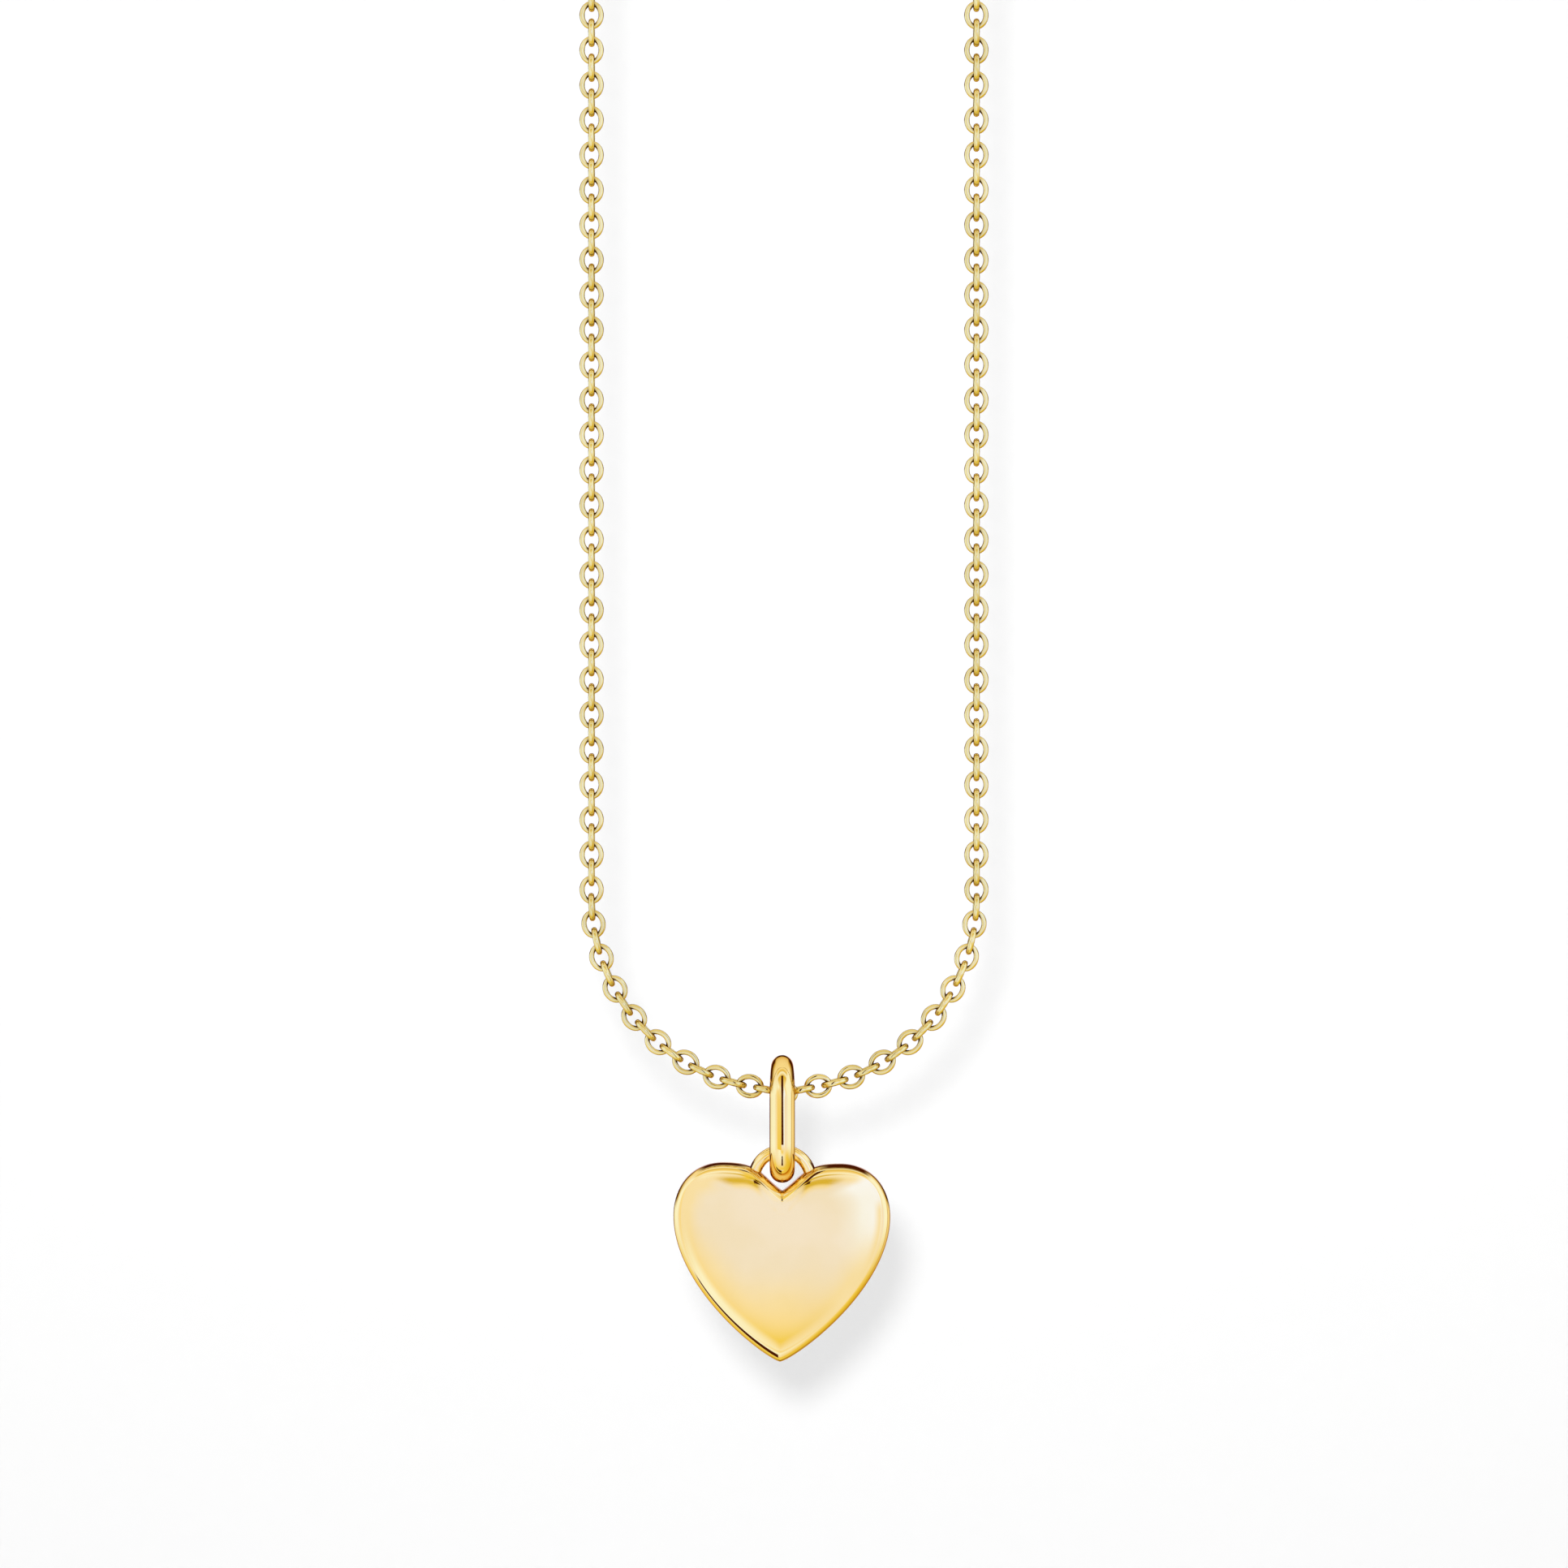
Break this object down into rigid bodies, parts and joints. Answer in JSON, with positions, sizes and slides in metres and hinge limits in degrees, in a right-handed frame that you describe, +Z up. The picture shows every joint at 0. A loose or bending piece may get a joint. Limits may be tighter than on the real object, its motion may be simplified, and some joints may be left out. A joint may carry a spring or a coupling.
{
  "type": "pendant necklace",
  "caption": "Heart pendant on a long closed bail, hanging from a fine oval cable chain that closes with a spring ring clasp",
  "frame": {"origin": "Inside of the loop at the top centre, where it bears on the neck or on a peg", "axes": "+X to the right across the two strands, +Y to the back with the heart facing -Y, +Z up along the hanging strands"},
  "size_m": [0.0265, 0.0046, 0.2131],
  "materials": {
    "polished_gold": "gold plated, high polish",
    "chain_gold": "gold plated, drawn wire with a high polish",
    "spring_steel": "drawn spring wire"
  },
  "bodies": {
    "nape": {"nape_chain_left": "chain_gold", "nape_chain_right": "chain_gold", "clasp_end_links": "chain_gold", "jump_ring": "polished_gold", "clasp_eye": "polished_gold", "clasp_body": "polished_gold", "clasp_spring": "spring_steel", "end_ring": "polished_gold"},
    "section_1": {"chain_left_1": "chain_gold", "chain_right_1": "chain_gold"},
    "section_2": {"chain_left_2": "chain_gold", "chain_right_2": "chain_gold"},
    "section_3": {"chain_left_3": "chain_gold", "chain_right_3": "chain_gold"},
    "section_4": {"chain_left_4": "chain_gold", "chain_right_4": "chain_gold"},
    "section_5": {"chain_left_5": "chain_gold", "chain_right_5": "chain_gold"},
    "section_6": {"chain_left_6": "chain_gold", "chain_right_6": "chain_gold", "chain_curve_left": "chain_gold", "chain_curve_right": "chain_gold", "centre_link": "chain_gold"},
    "hanger": {"bail": "polished_gold"},
    "pendant": {"eye_ring": "polished_gold", "heart": "polished_gold"},
    "latch": {"clasp_bolt": "polished_gold"}
  },
  "joints": [
    {"name": "section_1_swing", "type": "hinge", "parent": "nape", "child": "section_1", "pos_m": [0, 0, -0.03137], "axis": [1, 0, 0], "range_deg": [-25, 25]},
    {"name": "section_2_swing", "type": "hinge", "parent": "section_1", "child": "section_2", "pos_m": [0, 0, -0.05737], "axis": [1, 0, 0], "range_deg": [-25, 25]},
    {"name": "section_3_swing", "type": "hinge", "parent": "section_2", "child": "section_3", "pos_m": [0, 0, -0.08337], "axis": [1, 0, 0], "range_deg": [-25, 25]},
    {"name": "section_4_swing", "type": "hinge", "parent": "section_3", "child": "section_4", "pos_m": [0, 0, -0.10937], "axis": [1, 0, 0], "range_deg": [-25, 25]},
    {"name": "section_5_swing", "type": "hinge", "parent": "section_4", "child": "section_5", "pos_m": [0, 0, -0.13537], "axis": [1, 0, 0], "range_deg": [-25, 25]},
    {"name": "section_6_swing", "type": "hinge", "parent": "section_5", "child": "section_6", "pos_m": [0, 0, -0.16137], "axis": [1, 0, 0], "range_deg": [-25, 25]},
    {"name": "bail_swing", "type": "hinge", "parent": "section_6", "child": "hanger", "pos_m": [-0.0001, 0, -0.19633], "axis": [1, 0, 0], "range_deg": [-90, 90]},
    {"name": "heart_sway", "type": "hinge", "parent": "hanger", "child": "pendant", "pos_m": [-0.0001, 0, -0.20126], "axis": [0, 1, 0], "range_deg": [-18, 18]},
    {"name": "clasp_slide", "type": "hinge", "parent": "nape", "child": "latch", "pos_m": [0.011, 0, -0.01952], "axis": [0, 1, 0], "range_deg": [0, 50], "stiffness_Nm_per_rad": 0.0005, "springref_deg": -22.92, "deforming": ["clasp_spring"]}
  ]
}
